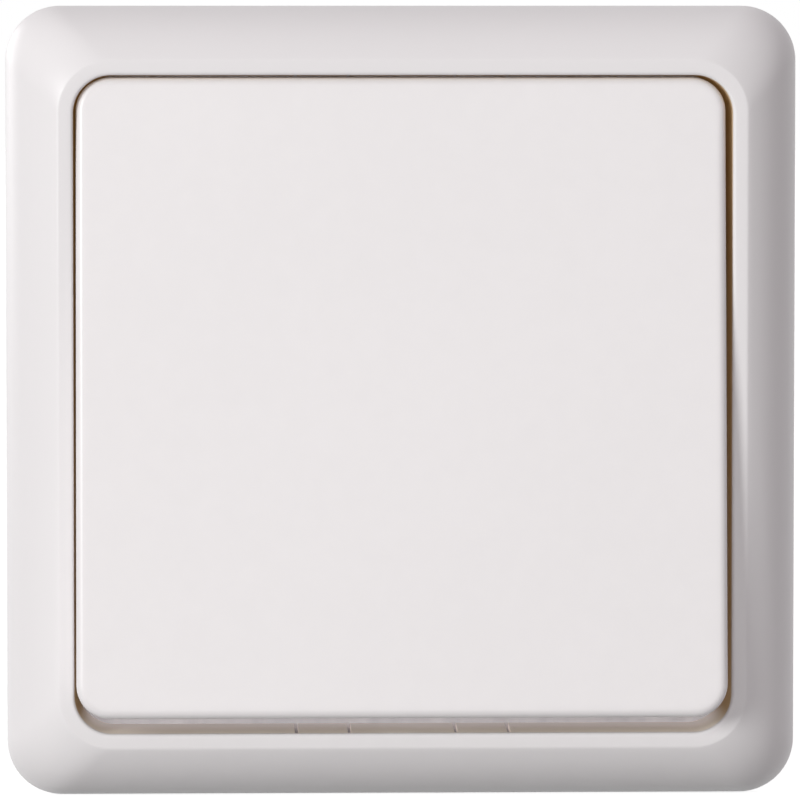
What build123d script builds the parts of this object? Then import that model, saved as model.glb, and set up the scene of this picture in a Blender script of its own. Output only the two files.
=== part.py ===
# One-gang flush light switch: a square cover frame, a wide rocker and the switch insert behind them.
# Millimetres. The front faces -Y and +Z is up. The wall is the plane y = 0, centred on the origin.
import os
from math import cos, radians, sin, tan

from build123d import *

os.makedirs("parts", exist_ok=True)

# Cover frame
frame_size = 81.0  # outer side of the square at the wall
frame_corner_r = 5.6
frame_h = 9.6  # flat front land above the wall
frame_rim_h = 1.6  # straight side next to the wall
frame_wall = 1.8
frame_inner_wall = 1.3  # wall round the opening
slope_w = 5.5  # plan width of the sloping side
bulge_in = 1.9  # the slope bulges: this far in at bulge_h
bulge_h = 6.3
bulge_corner_r = 5.4
ridge_corner_r = 5.2
ridge_round_r = 0.6
land_w = 1.5  # flat land between the ridge and the opening
opening_corner_r = 3.9
opening_round_r = 0.3
opening_draft = 1.2  # degrees, the opening narrows towards the wall
frame_rib_t = 1.0  # webs in the hollow behind the slope
frame_rib_at = 22.0
frame_rib_clear = 0.4  # webs to the plate

# Snap tongues of the frame and the lugs that catch them
tongue_x = 8.15
tongue_w = 5.0
slit_w = 0.4
slit_front = 0.8  # solid wall left in front of the slits
catch_h = 4.3  # underside edge that the catch hooks
catch_rise = 1.2
catch_out = 0.55
catch_w = 2.4
lug_clear = 0.15
lug_t = 1.2
lug_h = 5.8

# Rocker
rocker_side_gap = 0.52
rocker_end_gap = 0.2  # left at the end that is pressed in
rocker_face = 11.0  # face in front of the rocker's axis
rocker_corner_r = 3.4
rocker_round_r = 0.8
rocker_skirt = 6.0
rocker_draft = 0.5  # degrees
rocker_wall = 2.0
rocker_face_t = 2.2
rocker_rib_t = 1.2
rocker_rib_h = 1.6
rocker_rib_at = 18.0
rocker_seat_t = 1.4
rocker_tilt = 5.0  # degrees each way from square, stored with the top pressed in
rocker_play = 0.22  # rocker slid to the left on its axles
axis_h = 0.8  # rocker axis in front of the wall

# Carrier that the rocker clips on, with its stub axles
carrier_h = 17.0
carrier_t = 2.2
carrier_front = 4.6  # front of the carrier plate, in front of the axis
carrier_cheek_t = 2.0
carrier_cheek_r = 2.2
carrier_side_clear = 0.35  # to the bearing posts
axle_r = 1.5
axle_clear = 0.05
axle_short = 0.35  # axle ends inside the post's outer face
stem_r = 3.0
stem_reach = 7.0  # end of the stem behind the axis
stem_bore_r = 1.88
stem_end_wall = 2.0

# Clips of the rocker in the carrier
clip_in = 4.3  # middle of the clip from the end of the carrier
clip_t = 1.8
clip_w = 5.6
clip_clear = 0.2
clip_flex = 0.7
clip_nose = 0.7
clip_nose_h = 0.8

# Plunger and its spring
plunger_clear = 0.06
plunger_shoulder = 3.5  # top of the plunger behind the axis
plunger_body = 6.5
plunger_nose_r = 1.1
plunger_reach = 13.0  # rounded tip behind the axis
spring_wire_r = 0.22
spring_turns = 6
spring_clear = 0.12
spring_end_gap = 0.04

# Support plate
plate_t = 1.2
plate_corner_r = 4.0
plate_over = 0.7  # plate past the frame's inner wall
lid_hold = 1.0  # the plate laps over the housing's mouth and holds the lid
plate_window_r = 2.0
box_screw_spacing = 60.0
box_slot_w = 4.2
box_slot_l = 5.0
relief_w = 0.4  # slots beside the bends of the lugs and ears
relief_in = 0.1  # slots of the lugs hidden behind the tongues
relief_past = 0.3  # slots past the start of the bend

# Housing
housing_w = 35.0
housing_h = 42.0
housing_corner_r = 3.0
housing_wall = 2.0
housing_floor = 3.0
housing_edge_r = 1.0
flange_out = 4.6
flange_t = 3.0
partition_t = 1.2
partition_clear = 0.3

# Lid of the housing with the bearings of the rocker
lid_clear = 0.15
lid_wall = 1.2
lid_deep = 1.8  # floor of the lid behind the wall plane
lid_t = 1.6
post_t = 2.0
post_w = 6.4
post_front = 2.4  # post in front of the axis
post_entry_w = 2.6
stem_clear = 0.7

# Rivets of the plate
rivet_side = 3.5  # from the end of the flange
rivet_r = 1.5
rivet_clear = 0.03
rivet_head_r = 2.4
rivet_head_h = 0.9
rivet_head_round = 0.54
rivet_tail_r = 2.0
rivet_tail_h = 0.6

# Moving contact
arm_w = 6.0
arm_t = 1.0
arm_end = 2.0  # arm past the middle of its contacts
arm_corner_r = 1.5
arm_swing = 6.0  # degrees each way
arm_gap = 0.05  # plunger to arm when both stand square
contact_reach = 10.0
contact_r = 1.7
contact_h = 0.8
contact_dome = 0.55
contact_shank_r = 0.9
shank_clear = 0.03
contact_tail_r = 1.3
contact_tail_h = 0.4
contact_gap = 0.06
pivot_r = 0.8
pivot_clear = 0.05
pivot_l = 1.6

# Terminals
strip_t = 1.0
strip_w = 5.0
cheek_t = 1.0
cheek_clear = 0.3
cheek_over = 1.0
terminal_side = 1.75  # pillar blocks to the housing's walls
block_clear = 0.25  # pillar blocks to the partitions
block_w = 6.5
block_h = 7.0
wire_r = 1.6
wire_entry_r = 1.8
wire_funnel_r = 2.9
wire_funnel_l = 1.0
screw_r = 1.45
screw_clear = 0.05
screw_back = 0.2  # screw tip short of the wire bore
screw_neck = 0.4
screw_head_r = 2.2
screw_head_h = 1.5
screw_slot_w = 0.7
screw_slot_d = 0.6
screw_access_clear = 0.3

# Fixing claws with their pins and screws
claw_w = 6.0
claw_t = 1.6
claw_hub_r = 2.4
claw_pin_y = 7.0
claw_pin_r = 1.0
claw_pin_clear = 0.04
claw_leg = 10.5
claw_toe = 2.6
claw_notch = 1.0
claw_notch_pitch = 2.0
claw_past = 2.0  # finger past the middle of its screw
claw_swing = 20.0  # degrees outwards when the screw is driven in
ear_t = 1.2
ear_r = 2.6
ear_clear = 0.3
ear_bend_r = 0.4  # inside of the bend
pin_head_r = 1.5
pin_head_h = 0.4
claw_screw_out = 2.7  # middle of the screw from the housing's side
claw_lever = 5.0  # pin to screw
claw_screw_r = 1.5
claw_screw_clear = 0.05
claw_screw_gap = 0.1
claw_screw_stand = 0.15  # head above the plate when driven in
claw_head_r = 2.75
claw_head_h = 1.8
claw_head_round = 0.7
claw_slot_w = 0.8
claw_slot_d = 1.0

# Worked out from the sizes above
opening = frame_size - 2 * (slope_w + land_w)
ridge = frame_size - 2 * slope_w
wall_out = opening / 2 + frame_inner_wall
lug_in = wall_out + lug_clear
lug_out = lug_in + lug_t
lug_w = tongue_w - 2 * (relief_w + relief_in)
plate_size = 2 * (wall_out + plate_over)
tilt = radians(rocker_tilt)
swing = radians(arm_swing)
rocker_w = opening - 2 * rocker_side_gap
rocker_h = 2 * (opening / 2 - rocker_end_gap - rocker_face * sin(tilt)) / cos(tilt)
rocker_back = rocker_face - rocker_skirt
rocker_inside = rocker_face - rocker_face_t
carrier_back = carrier_front - carrier_t
plunger_r = stem_bore_r - plunger_clear
stem_top = carrier_front - stem_end_wall
cavity_w = housing_w - 2 * housing_wall
cavity_h = housing_h - 2 * housing_wall
plate_window_w = cavity_w - 2 * lid_hold
plate_window_h = cavity_h - 2 * lid_hold
flange_w = housing_w - 2 * housing_corner_r
lid_back = lid_deep + lid_t
post_x = cavity_w / 2 - lid_clear - lid_wall
carrier_w = 2 * (post_x - post_t - carrier_side_clear)
axle_l = carrier_side_clear + post_t - axle_short
clip_x = carrier_w / 2 - clip_in
arm_half = contact_reach + arm_end
arm_y = plunger_reach - axis_h + arm_gap + arm_t / 2
dome_r = (contact_r**2 + contact_dome**2) / (2 * contact_dome)
arm_contact_y = arm_y + contact_reach * sin(swing) + dome_r - (dome_r - contact_h - arm_t / 2) * cos(swing)
strip_y = arm_contact_y + contact_gap + contact_h
floor_y = strip_y + strip_t
housing_depth = floor_y + housing_floor
block_y = floor_y - block_h / 2
terminal_x = cavity_w / 2 - terminal_side - block_w / 2
terminal_z = cavity_h / 2 - terminal_side - block_w / 2
partition_x = terminal_x - block_w / 2 - block_clear - partition_t / 2
screw_tip_z = terminal_z + wire_r + screw_back
screw_head_z = terminal_z + block_w / 2 + screw_neck
rivet_x = flange_w / 2 - rivet_side
rivet_z = (housing_h + flange_out) / 2

ear_in = claw_w / 2 + ear_clear
ear_out = ear_in + ear_t
ear_bend = ear_in - ear_bend_r  # where the bend starts
claw_screw_x = housing_w / 2 + claw_screw_out
claw_pin_x = claw_screw_x + claw_lever
claw_finger = claw_lever + claw_past
claw_reach = claw_t / 2 + claw_screw_r + claw_screw_gap
claw_angle = radians(claw_swing)
claw_screw_travel = claw_reach + (claw_lever * sin(claw_angle) - claw_reach) / cos(claw_angle)

# Planes of the pieces that are stored tilted: across the rocker, and along its side
axis_point = (-rocker_play, -axis_h, 0)
rocker_plane = Plane(axis_point, x_dir=(1, 0, 0), z_dir=(0, -cos(tilt), sin(tilt)))
rocker_side = Plane(axis_point, x_dir=(0, sin(tilt), cos(tilt)), z_dir=(1, 0, 0))
arm_side = Plane((0, arm_y, 0), x_dir=(0, -sin(swing), cos(swing)), z_dir=(1, 0, 0))
arm_plane = Plane((0, arm_y, 0), x_dir=(1, 0, 0), z_dir=(0, -cos(swing), -sin(swing)))


# A plane parallel to the wall, h in front of it
def facing(h):
    return Plane.XZ.offset(h)


def rounded_square(side, r, mode=Mode.ADD):
    return RectangleRounded(side, side, r, mode=mode)


# Straight edges along X that lie at the given y, this far above and below the middle
def bend_edges(piece, y, reach):
    rows = piece.edges().filter_by(Axis.X).filter_by_position(Axis.Y, y, y)
    return ShapeList(edge for edge in rows if abs(abs(edge.center().Z) - reach) < 1e-3)


def save(piece, name):
    piece.part.label = name
    export_step(piece.part, f"parts/{name}.step")


# Hollow behind the frame's slope, with gaps for eight thin webs
with BuildPart() as frame_hollow:
    hollow = frame_size - 2 * frame_wall
    with BuildSketch(facing(0)):
        rounded_square(hollow, frame_corner_r - frame_wall)
    extrude(amount=frame_rim_h)
    with BuildSketch(facing(frame_rim_h)):
        rounded_square(hollow, frame_corner_r - frame_wall)
    with BuildSketch(facing(bulge_h - frame_wall)):
        rounded_square(hollow - bulge_in, bulge_corner_r - frame_wall)
    with BuildSketch(facing(frame_h - frame_wall)):
        rounded_square(ridge, ridge_corner_r)
    loft()
    with BuildSketch(facing(plate_t + frame_rib_clear)):
        with GridLocations(2 * frame_rib_at, 0, 2, 1):
            Rectangle(frame_rib_t, frame_size)
        with GridLocations(0, 2 * frame_rib_at, 1, 2):
            Rectangle(frame_size, frame_rib_t)
        rounded_square(2 * wall_out, opening_corner_r + frame_inner_wall, mode=Mode.SUBTRACT)
    extrude(amount=frame_h, mode=Mode.SUBTRACT)

# Cover frame: rim, bulging slope and ridge, hollow behind, with a wall round the opening
with BuildPart() as cover_frame:
    with BuildSketch(facing(0)):
        rounded_square(frame_size, frame_corner_r)
    extrude(amount=frame_rim_h)
    with BuildSketch(facing(frame_rim_h)):
        rounded_square(frame_size, frame_corner_r)
    with BuildSketch(facing(bulge_h)):
        rounded_square(frame_size - 2 * bulge_in, bulge_corner_r)
    with BuildSketch(facing(frame_h)):
        rounded_square(ridge, ridge_corner_r)
    loft()
    fillet(cover_frame.faces().sort_by(Axis.Y)[0].edges(), ridge_round_r)
    add(frame_hollow.part, mode=Mode.SUBTRACT)
    with BuildSketch(facing(plate_t)):
        rounded_square(2 * wall_out, opening_corner_r + frame_inner_wall)
    extrude(amount=frame_h - frame_wall / 2 - plate_t)
    with BuildSketch(facing(frame_h)):
        rounded_square(opening, opening_corner_r)
    with BuildSketch(facing(0)):
        rounded_square(opening - 2 * frame_h * tan(radians(opening_draft)), opening_corner_r)
    loft(mode=Mode.SUBTRACT)
    land = cover_frame.faces().sort_by(Axis.Y)[0]
    fillet(land.inner_wires()[0].edges(), opening_round_r)
    slit_l = frame_h - slit_front - plate_t
    for end in (1, -1):
        for side in (1, -1):
            slit_centre = (side * tongue_x, -plate_t - slit_l / 2, end * (wall_out - frame_inner_wall / 2))
            with Locations(slit_centre):
                with GridLocations(tongue_w + slit_w, 0, 2, 1):
                    Box(slit_w, slit_l, 2 * frame_inner_wall, mode=Mode.SUBTRACT)
            with BuildSketch(Plane.YZ.offset(side * tongue_x - catch_w / 2)):
                with BuildLine():
                    Polyline(
                        (-catch_h, end * (wall_out - catch_out)),
                        (-catch_h, end * (wall_out + catch_out)),
                        (-catch_h + catch_rise, end * wall_out),
                        (-catch_h + catch_rise, end * (wall_out - catch_out)),
                        close=True,
                    )
                make_face()
            extrude(amount=catch_w)
save(cover_frame, "cover_frame")

# Rocker: drafted cap with rounded edges, ribs inside, seats and two clips for the carrier
with BuildPart() as rocker:
    skirt_grow = 2 * rocker_skirt * tan(radians(rocker_draft))
    with BuildSketch(rocker_plane.offset(rocker_back)):
        RectangleRounded(rocker_w + skirt_grow, rocker_h + skirt_grow, rocker_corner_r)
    with BuildSketch(rocker_plane.offset(rocker_face)):
        RectangleRounded(rocker_w, rocker_h, rocker_corner_r)
    loft()
    front_edges = rocker.faces().sort_by(Axis(axis_point, rocker_plane.z_dir))[-1].edges()
    fillet(front_edges, rocker_round_r)
    rocker_in_w = rocker_w - 2 * rocker_wall
    rocker_in_h = rocker_h - 2 * rocker_wall
    with BuildSketch(rocker_plane.offset(rocker_back)):
        RectangleRounded(rocker_in_w, rocker_in_h, rocker_corner_r - rocker_wall)
    extrude(amount=rocker_skirt - rocker_face_t, mode=Mode.SUBTRACT)
    with BuildSketch(rocker_plane.offset(rocker_inside)):
        with Locations((rocker_rib_at, 0), (-rocker_rib_at, 0)):
            Rectangle(rocker_rib_t, rocker_in_h)
        with Locations((0, rocker_rib_at), (0, -rocker_rib_at)):
            Rectangle(rocker_in_w, rocker_rib_t)
    extrude(amount=-rocker_rib_h)
    with BuildSketch(rocker_plane.offset(rocker_inside)):
        with GridLocations(0, carrier_h - 2 * rocker_seat_t, 1, 2):
            Rectangle(carrier_w - 2 * carrier_cheek_t, rocker_seat_t)
    extrude(amount=carrier_front - rocker_inside)
    nose_top = carrier_back - clip_clear / 2
    for side in (1, -1):
        with BuildSketch(Plane(rocker_side.origin, x_dir=(side, 0, 0), z_dir=-side * rocker_side.x_dir)):
            with BuildLine():
                Polyline(
                    (clip_x - clip_t / 2, rocker_inside),
                    (clip_x - clip_t / 2, nose_top - 2 * clip_nose_h),
                    (clip_x + clip_t / 2, nose_top - 2 * clip_nose_h),
                    (clip_x + clip_t / 2 + clip_nose, nose_top - clip_nose_h),
                    (clip_x + clip_t / 2 + clip_nose, nose_top),
                    (clip_x + clip_t / 2, nose_top),
                    (clip_x + clip_t / 2, rocker_inside),
                    close=True,
                )
            make_face()
        extrude(amount=clip_w / 2, both=True)
save(rocker, "rocker")

# Carrier: plate with clip windows, cheeks with stub axles, and a bored stem for the plunger
with BuildPart() as rocker_carrier:
    with BuildSketch(rocker_plane.offset(carrier_back)):
        RectangleRounded(carrier_w, carrier_h, carrier_cheek_t / 2)
        for side in (1, -1):
            window_out = clip_x + clip_t / 2 + clip_clear
            window_in = clip_x - clip_t / 2 - clip_flex
            with Locations((side * (window_out + window_in) / 2, 0)):
                Rectangle(window_out - window_in, clip_w + 2 * clip_clear, mode=Mode.SUBTRACT)
    extrude(amount=carrier_t)
    for side in (1, -1):
        cheek_plane = rocker_side.offset(side * (carrier_w - carrier_cheek_t) / 2)
        with BuildSketch(cheek_plane):
            Circle(carrier_cheek_r)
            with Locations((0, carrier_back / 2)):
                Rectangle(2 * carrier_cheek_r, carrier_back)
        extrude(amount=carrier_cheek_t / 2, both=True)
        with BuildSketch(rocker_side.offset(side * carrier_w / 2)):
            Circle(axle_r)
        extrude(amount=side * axle_l)
    with BuildSketch(rocker_plane.offset(-stem_reach)):
        Circle(stem_r)
    extrude(amount=stem_reach + carrier_back)
    with BuildSketch(rocker_plane.offset(-stem_reach)):
        Circle(stem_bore_r)
    extrude(amount=stem_reach + stem_top, mode=Mode.SUBTRACT)
save(rocker_carrier, "rocker_carrier")

# Plunger: body that slides in the stem, with a narrower nose and a rounded tip
with BuildPart() as plunger:
    with BuildSketch(rocker_side):
        with BuildLine():
            Polyline(
                (0, -plunger_shoulder),
                (plunger_r, -plunger_shoulder),
                (plunger_r, -plunger_shoulder - plunger_body),
                (plunger_nose_r, -plunger_shoulder - plunger_body - (plunger_r - plunger_nose_r)),
                (plunger_nose_r, -plunger_reach + plunger_nose_r),
            )
            CenterArc((0, -plunger_reach + plunger_nose_r), plunger_nose_r, -90, 90)
            Line((0, -plunger_reach), (0, -plunger_shoulder))
        make_face()
    revolve(axis=Axis(axis_point, rocker_plane.z_dir))
save(plunger, "plunger")

# Contact spring: coil between the end of the stem's bore and the plunger
with BuildPart() as contact_spring:
    coil_r = stem_bore_r - spring_clear - spring_wire_r
    coil_l = stem_top + plunger_shoulder - 2 * (spring_wire_r + spring_end_gap)
    coil_start = rocker_plane.offset(-plunger_shoulder + spring_wire_r + spring_end_gap)
    with BuildLine():
        coil = Helix(coil_l / spring_turns, coil_l, coil_r, coil_start.origin, coil_start.z_dir)
    with BuildSketch(Plane(coil @ 0, z_dir=coil % 0)):
        Circle(spring_wire_r)
    sweep(path=coil)
save(contact_spring, "contact_spring")

# Support plate: stamped sheet with the box screw slots, lugs bent forwards and claw ears bent back
with BuildPart() as support_plate:
    relief_end = wall_out - relief_past
    ear_root = ear_bend - relief_past
    ear_end = ear_out + claw_pin_y - plate_t  # middle of the rounded end of the ear's blank
    with BuildSketch(facing(0)):
        rounded_square(plate_size, plate_corner_r)
        with GridLocations(2 * tongue_x, relief_end + lug_out, 2, 2):
            Rectangle(lug_w + 2 * relief_w, lug_out - relief_end, mode=Mode.SUBTRACT)
            Rectangle(lug_w, lug_out - relief_end)
        RectangleRounded(plate_window_w, plate_window_h, plate_window_r, mode=Mode.SUBTRACT)
        with GridLocations(0, box_screw_spacing, 1, 2):
            SlotOverall(box_slot_l, box_slot_w, rotation=90, mode=Mode.SUBTRACT)
        with GridLocations(2 * rivet_x, 2 * rivet_z, 2, 2):
            Circle(rivet_r + rivet_clear, mode=Mode.SUBTRACT)
        with GridLocations(2 * claw_screw_x, 0, 2, 1):
            Circle(claw_screw_r + claw_screw_clear, mode=Mode.SUBTRACT)
        with GridLocations(2 * claw_pin_x, ear_root + ear_end, 2, 2):
            Rectangle(2 * (ear_r + relief_w), ear_end - ear_root, mode=Mode.SUBTRACT)
        with GridLocations(2 * claw_pin_x, 2 * ear_end, 2, 2):
            Circle(ear_r + relief_w, mode=Mode.SUBTRACT)
        with GridLocations(2 * claw_pin_x, ear_root + ear_out, 2, 2):
            Rectangle(2 * ear_r, ear_out - ear_root)  # root of the ear
    extrude(amount=plate_t)
    with BuildSketch(facing(plate_t)):
        with GridLocations(2 * tongue_x, lug_in + lug_out, 2, 2):
            Rectangle(lug_w, lug_t)
    extrude(amount=lug_h - plate_t)
    for end in (1, -1):
        with Locations(*[(side * tongue_x, -catch_h + catch_rise / 2, end * lug_in) for side in (1, -1)]):
            Box(catch_w + 2 * lug_clear, catch_rise + 2 * lug_clear, 4 * lug_t, mode=Mode.SUBTRACT)
    for side in (1, -1):
        for end in (1, -1):
            with BuildSketch(Plane.XY.offset(end * (ear_in + ear_out) / 2)):
                with Locations((side * claw_pin_x, claw_pin_y / 2)):
                    Rectangle(2 * ear_r, claw_pin_y)
                with Locations((side * claw_pin_x, claw_pin_y)):
                    Circle(ear_r)
                    Circle(claw_pin_r + claw_pin_clear, mode=Mode.SUBTRACT)
            extrude(amount=ear_t / 2, both=True)
    fillet(bend_edges(support_plate, 0, lug_out), lug_t + lug_clear)
    fillet(bend_edges(support_plate, -plate_t, lug_in), lug_clear)
    fillet(bend_edges(support_plate, -plate_t, ear_out), ear_t + ear_bend_r)
    fillet(bend_edges(support_plate, 0, ear_in), ear_bend_r)
save(support_plate, "support_plate")

# Housing: deep tray with flanges for the rivets, partitions, wire entries and screw access holes
with BuildPart() as base_housing:
    with BuildSketch(facing(0)):
        RectangleRounded(housing_w, housing_h, housing_corner_r)
    extrude(amount=-housing_depth)
    fillet(base_housing.faces().sort_by(Axis.Y)[-1].edges(), housing_edge_r)
    with BuildSketch(facing(0)):
        RectangleRounded(flange_w, housing_h + 2 * flange_out, housing_corner_r)
        with GridLocations(2 * rivet_x, 2 * rivet_z, 2, 2):
            Circle(rivet_r + rivet_clear, mode=Mode.SUBTRACT)
    extrude(amount=-flange_t)
    with BuildSketch(facing(0)):
        RectangleRounded(cavity_w, cavity_h, housing_corner_r - housing_wall)
    extrude(amount=-floor_y, mode=Mode.SUBTRACT)
    with BuildSketch(facing(-lid_back)):
        with GridLocations(2 * partition_x, 0, 2, 1):
            Rectangle(partition_t, cavity_h)
    extrude(amount=lid_back - floor_y)
    notch_h = strip_t + partition_clear
    with BuildSketch(facing(-floor_y)):
        with Locations((partition_x, 0)):
            Rectangle(2 * partition_t, strip_w + 2 * partition_clear)
        with Locations((-partition_x, contact_reach), (-partition_x, -contact_reach)):
            Rectangle(2 * partition_t, strip_w + 2 * partition_clear)
    extrude(amount=notch_h, mode=Mode.SUBTRACT)
    with BuildSketch(facing(-floor_y)):
        with GridLocations(0, 2 * contact_reach, 1, 2):
            Circle(contact_tail_r + partition_clear)
    extrude(amount=-contact_tail_h - shank_clear, mode=Mode.SUBTRACT)
    with BuildSketch(facing(-housing_depth)):
        with GridLocations(2 * terminal_x, 2 * terminal_z, 2, 2):
            Circle(wire_entry_r)
    extrude(amount=housing_floor, mode=Mode.SUBTRACT)
    for x in (terminal_x, -terminal_x):
        for z in (terminal_z, -terminal_z):
            with BuildSketch(facing(-housing_depth)):
                with Locations((x, z)):
                    Circle(wire_funnel_r)
            with BuildSketch(facing(-housing_depth + wire_funnel_l)):
                with Locations((x, z)):
                    Circle(wire_entry_r)
            loft(mode=Mode.SUBTRACT)
    for end in (1, -1):
        with BuildSketch(Plane.XY.offset(end * cavity_h / 2)):
            with Locations((terminal_x, block_y), (-terminal_x, block_y)):
                Circle(screw_head_r + screw_access_clear)
        extrude(amount=end * 2 * housing_wall, mode=Mode.SUBTRACT)
save(base_housing, "base_housing")

# Lid: tray in the mouth of the housing, with a hole for the stem and two snap-in bearing posts
with BuildPart() as housing_lid:
    lid_w = cavity_w - 2 * lid_clear
    lid_h = cavity_h - 2 * lid_clear
    with BuildSketch(facing(-lid_back)):
        RectangleRounded(lid_w, lid_h, housing_corner_r - housing_wall)
    extrude(amount=lid_back)
    with BuildSketch(facing(-lid_deep)):
        Rectangle(lid_w - 2 * lid_wall, lid_h - 2 * lid_wall)
    extrude(amount=lid_deep, mode=Mode.SUBTRACT)
    with BuildSketch(facing(-lid_deep)):
        with GridLocations(2 * post_x - post_t, 0, 2, 1):
            Rectangle(post_t, post_w)
    extrude(amount=lid_deep + axis_h + post_front)
    with BuildSketch(Plane.YZ.offset(-post_x)):
        with Locations((-axis_h, 0)):
            Circle(axle_r + axle_clear)
        with Locations((-axis_h - post_front / 2 - axle_r / 2, 0)):
            Rectangle(post_front + axle_r, post_entry_w)
    extrude(amount=2 * post_x, mode=Mode.SUBTRACT)
    with BuildSketch(facing(-lid_back)):
        Circle(stem_r + stem_clear)
    extrude(amount=lid_t, mode=Mode.SUBTRACT)
save(housing_lid, "housing_lid")

# Rivets that clamp the plate to the housing's flanges
with BuildPart() as plate_rivets:
    with BuildSketch(facing(-flange_t)):
        with GridLocations(2 * rivet_x, 2 * rivet_z, 2, 2):
            Circle(rivet_r)
    extrude(amount=flange_t + plate_t)
    with BuildSketch(facing(-flange_t)):
        with GridLocations(2 * rivet_x, 2 * rivet_z, 2, 2):
            Circle(rivet_tail_r)
    extrude(amount=-rivet_tail_h)
    with BuildSketch(facing(plate_t)):
        with GridLocations(2 * rivet_x, 2 * rivet_z, 2, 2):
            Circle(rivet_head_r)
    extrude(amount=rivet_head_h)
    fillet(plate_rivets.faces().filter_by(Axis.Y).group_by(Axis.Y)[0].edges(), rivet_head_round)
save(plate_rivets, "plate_rivets")

# Contact arm: flat see-saw strip with two stub pivots and holes for its contacts
with BuildPart() as contact_arm:
    with BuildSketch(arm_plane.offset(-arm_t / 2)):
        RectangleRounded(arm_w, 2 * arm_half, arm_corner_r)
        with GridLocations(0, 2 * contact_reach, 1, 2):
            Circle(contact_shank_r + shank_clear, mode=Mode.SUBTRACT)
    extrude(amount=arm_t)
    for side in (1, -1):
        with BuildSketch(arm_side.offset(side * (arm_w / 2 - pivot_r / 2))):
            Circle(pivot_r)
        extrude(amount=side * (pivot_l + pivot_r / 2))
save(contact_arm, "contact_arm")


# Contact rivet: dome, head, shank and tail, turned about the plane's y direction from the head's seat
def make_contact(plane, shank_l):
    with BuildPart() as contact:
        with BuildSketch(plane):
            with BuildLine():
                Polyline(
                    (0, contact_h),
                    (0, -shank_l - contact_tail_h),
                    (contact_tail_r, -shank_l - contact_tail_h),
                    (contact_tail_r, -shank_l),
                    (contact_shank_r, -shank_l),
                    (contact_shank_r, 0),
                    (contact_r, 0),
                    (contact_r, contact_h - contact_dome),
                )
                RadiusArc((contact_r, contact_h - contact_dome), (0, contact_h), -dome_r)
            make_face()
        revolve(axis=Axis(plane.origin, plane.y_dir))
    return contact.part


# Silver contacts of the arm, domed towards the back
with BuildPart() as arm_contacts:
    for end in (1, -1):
        seat = arm_plane.origin + arm_plane.y_dir * end * contact_reach - arm_plane.z_dir * arm_t / 2
        add(make_contact(Plane(seat, x_dir=(1, 0, 0), z_dir=arm_plane.y_dir), arm_t))
save(arm_contacts, "arm_contacts")

# Silver contacts of the fixed strips, domed towards the front
with BuildPart() as fixed_contacts:
    for end in (1, -1):
        seat = (0, strip_y, end * contact_reach)
        add(make_contact(Plane(seat, x_dir=(1, 0, 0), z_dir=(0, 0, -1)), strip_t))
save(fixed_contacts, "fixed_contacts")


# Terminal: strips flat on the housing floor, with pillar blocks bored for a wire and for a screw
def make_terminal(strips, x, ends):
    with BuildPart() as terminal:
        with BuildSketch(facing(-floor_y)):
            for centre, size in strips:
                with Locations(centre):
                    Rectangle(*size)
        extrude(amount=strip_t)
        places = [(x, end * terminal_z) for end in ends]
        with BuildSketch(facing(-floor_y)):
            with Locations(*places):
                Rectangle(block_w, block_w)
        extrude(amount=block_h)
        with BuildSketch(facing(-floor_y)):
            with Locations(*places):
                Circle(wire_r)
        extrude(amount=block_h, mode=Mode.SUBTRACT)
        for end in ends:
            with BuildSketch(Plane.XY.offset(end * terminal_z)):
                with Locations((x, block_y)):
                    Circle(screw_r + screw_clear)
            extrude(amount=end * block_w, mode=Mode.SUBTRACT)
    return terminal.part


# Common terminal: two pillars, the strip that joins them and a fork that carries the contact arm
with BuildPart() as common_terminal:
    fork_out = arm_w / 2 + cheek_clear + cheek_t
    rail = ((terminal_x, 0), (block_w, 2 * terminal_z))
    cross = (((terminal_x - fork_out) / 2, 0), (terminal_x + fork_out, strip_w))
    add(make_terminal([rail, cross], terminal_x, (1, -1)))
    for side in (1, -1):
        with BuildSketch(Plane.YZ.offset(side * (fork_out - cheek_t / 2))):
            with Locations(((arm_y - cheek_over + floor_y) / 2, 0)):
                Rectangle(floor_y - arm_y + cheek_over, strip_w)
            with Locations((arm_y, 0)):
                Circle(pivot_r + pivot_clear, mode=Mode.SUBTRACT)
            with Locations((arm_y - cheek_over / 2, 0)):
                Rectangle(cheek_over, 2 * (pivot_r + pivot_clear), mode=Mode.SUBTRACT)
        extrude(amount=cheek_t / 2, both=True)
save(common_terminal, "common_terminal")


# Switched terminal: pillar with a strip that reaches under one end of the contact arm
def make_switched_terminal(end):
    strip_l = terminal_x + block_w / 2 + strip_w / 2
    strip = ((strip_w / 2 - strip_l / 2, end * contact_reach), (strip_l, strip_w))
    strip_end = contact_reach - strip_w / 2
    rail = ((-terminal_x, end * (strip_end + terminal_z) / 2), (block_w, terminal_z - strip_end))
    with BuildPart() as terminal:
        add(make_terminal([strip, rail], -terminal_x, (end,)))
        with BuildSketch(facing(-floor_y)):
            with Locations((0, end * contact_reach)):
                Circle(contact_shank_r + shank_clear)
        extrude(amount=strip_t, mode=Mode.SUBTRACT)
    return terminal


upper_terminal = make_switched_terminal(1)
save(upper_terminal, "upper_terminal")
lower_terminal = make_switched_terminal(-1)
save(lower_terminal, "lower_terminal")

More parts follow.
